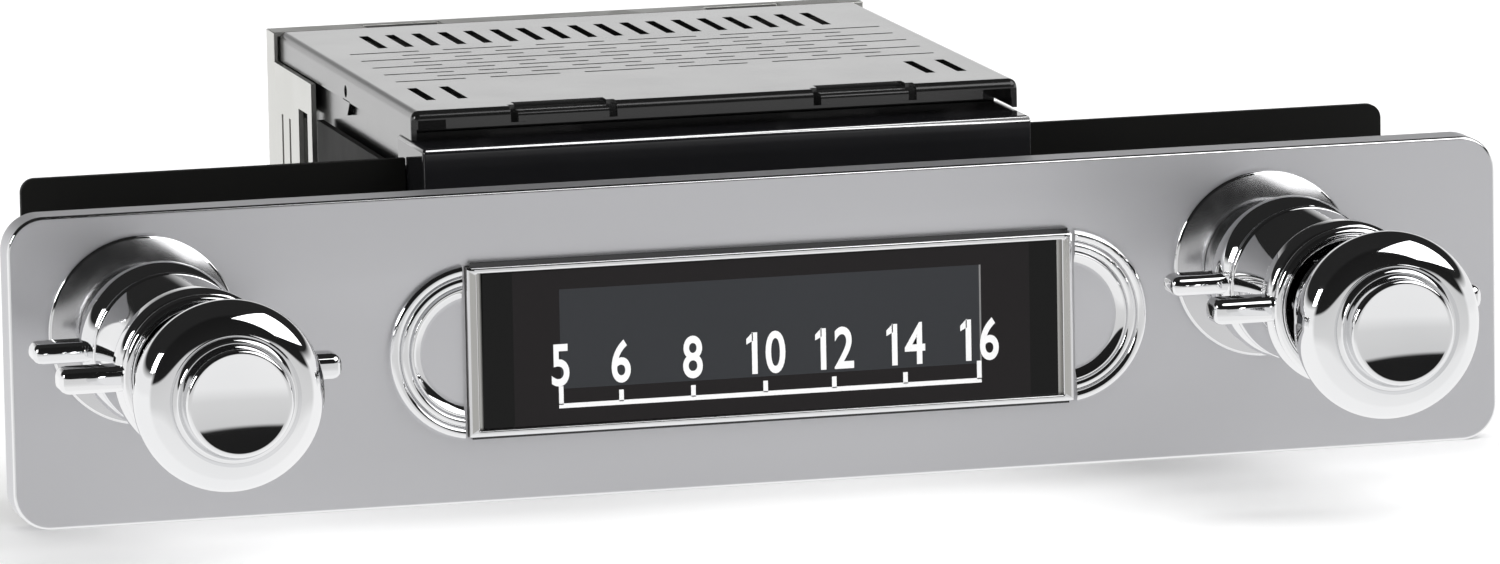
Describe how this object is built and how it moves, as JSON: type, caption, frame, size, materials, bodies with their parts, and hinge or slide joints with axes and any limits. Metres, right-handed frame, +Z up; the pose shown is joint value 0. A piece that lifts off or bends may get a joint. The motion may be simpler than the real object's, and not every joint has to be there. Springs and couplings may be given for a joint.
{
  "type": "car radio",
  "caption": "Shaft-style dashboard car radio: chrome faceplate with a slim dial, two stacks of push knobs with lever rings, and a vented steel chassis behind.",
  "frame": {"origin": "centre of the mounting plate's four-bolt pattern, on the plate's front face", "axes": "+X to the driver's right along the faceplate, +Y away from the driver into the dashboard, +Z up"},
  "size_m": [0.2646, 0.2376, 0.0635],
  "materials": {
    "faceplate_chrome": "satin chrome plating on a zinc casting",
    "knob_chrome": "bright polished chrome plating",
    "frame_nickel": "satin nickel",
    "lens_black": "high gloss",
    "scale_ink": "screen-printed ink",
    "guide_acrylic": "clear moulding",
    "display_glass": "dark polarised glass",
    "board_laminate": "solder mask over glass-fibre laminate",
    "ribbon_film": "flat polyester film cable",
    "housing_gloss": "high gloss",
    "plate_paint": "matt black paint",
    "cover_paint": "semi-gloss black enamel",
    "case_zinc": "zinc-plated sheet steel",
    "screw_zinc": "bright zinc plating",
    "bracket_zinc": "zinc-plated sheet steel",
    "control_steel": "tinned steel can",
    "turned_brass": "turned brass",
    "sleeve_steel": "turned and ground steel",
    "plunger_nylon": "moulded nylon",
    "screw_black": "black oxide",
    "tinned_steel": "tin-plated steel",
    "chip_epoxy": "moulded epoxy",
    "fin_alloy": "plain extrusion",
    "capacitor_sleeve": "shrunk plastic sleeve",
    "socket_plastic": "moulded nylon",
    "fuse_red": "clear tinted moulding",
    "socket_nickel": "nickel plating"
  },
  "bodies": {
    "chassis": {"faceplate": "faceplate_chrome", "dial_end_left": "knob_chrome", "dial_end_right": "knob_chrome", "dial_frame": "frame_nickel", "dial_lens": "lens_black", "dial_scale": "scale_ink", "light_guide": "guide_acrylic", "lcd_module": "display_glass", "display_board": "board_laminate", "display_ribbon": "ribbon_film", "nose_housing": "housing_gloss", "front_flange": "housing_gloss", "mounting_plate": "plate_paint", "arm_screws": "screw_zinc", "bracket_left": "bracket_zinc", "bracket_right": "bracket_zinc", "bracket_screws": "screw_zinc", "control_body_left": "control_steel", "control_body_right": "control_steel", "bushing_left": "turned_brass", "bushing_right": "turned_brass", "bushing_nuts": "turned_brass", "lock_washers": "screw_zinc", "escutcheon_left": "knob_chrome", "escutcheon_right": "knob_chrome", "chassis_tray": "cover_paint", "top_cover": "cover_paint", "case_sides": "case_zinc", "rear_case": "case_zinc", "case_screws": "screw_zinc", "main_board": "board_laminate", "board_posts": "turned_brass", "board_screws": "screw_zinc", "tuner_can": "tinned_steel", "amplifier_chip": "chip_epoxy", "heat_sink": "fin_alloy", "capacitors": "capacitor_sleeve", "power_socket": "socket_plastic", "fuse": "fuse_red", "antenna_socket": "socket_nickel", "line_jacks": "socket_plastic", "support_stud": "screw_zinc", "support_nut": "screw_zinc"},
    "left_push_switch": {"plunger_left": "plunger_nylon"},
    "left_knob": {"knob_left": "knob_chrome", "shaft_left": "sleeve_steel", "set_screw_left": "screw_black"},
    "left_front_lever": {"front_lever_left": "knob_chrome", "middle_sleeve_left": "sleeve_steel"},
    "left_rear_lever": {"rear_lever_left": "knob_chrome", "outer_sleeve_left": "sleeve_steel"},
    "right_push_switch": {"plunger_right": "plunger_nylon"},
    "right_knob": {"knob_right": "knob_chrome", "shaft_right": "sleeve_steel", "set_screw_right": "screw_black"},
    "right_front_lever": {"front_lever_right": "knob_chrome", "middle_sleeve_right": "sleeve_steel"},
    "right_rear_lever": {"rear_lever_right": "knob_chrome", "outer_sleeve_right": "sleeve_steel"}
  },
  "joints": [
    {"name": "left_knob_push", "type": "slide", "parent": "chassis", "child": "left_push_switch", "axis": [0, 1, 0], "range_m": [0, 0.0012], "stiffness_N_per_m": 2500, "springref_m": -0.0006},
    {"name": "left_knob_turn", "type": "hinge", "parent": "left_push_switch", "child": "left_knob", "pos_m": [-0.109, 0, 0.0067], "axis": [0, 1, 0], "continuous": true},
    {"name": "left_front_lever_turn", "type": "hinge", "parent": "chassis", "child": "left_front_lever", "pos_m": [-0.109, 0, 0.0067], "axis": [0, 1, 0], "range_deg": [-135, 135]},
    {"name": "left_rear_lever_turn", "type": "hinge", "parent": "chassis", "child": "left_rear_lever", "pos_m": [-0.109, 0, 0.0067], "axis": [0, 1, 0], "range_deg": [-135, 135]},
    {"name": "right_knob_push", "type": "slide", "parent": "chassis", "child": "right_push_switch", "axis": [0, 1, 0], "range_m": [0, 0.0012], "stiffness_N_per_m": 2500, "springref_m": -0.0006},
    {"name": "right_knob_turn", "type": "hinge", "parent": "right_push_switch", "child": "right_knob", "pos_m": [0.0893, 0, 0.0067], "axis": [0, 1, 0], "continuous": true},
    {"name": "right_front_lever_turn", "type": "hinge", "parent": "chassis", "child": "right_front_lever", "pos_m": [0.0893, 0, 0.0067], "axis": [0, 1, 0], "range_deg": [-135, 135]},
    {"name": "right_rear_lever_turn", "type": "hinge", "parent": "chassis", "child": "right_rear_lever", "pos_m": [0.0893, 0, 0.0067], "axis": [0, 1, 0], "range_deg": [-135, 135]}
  ]
}
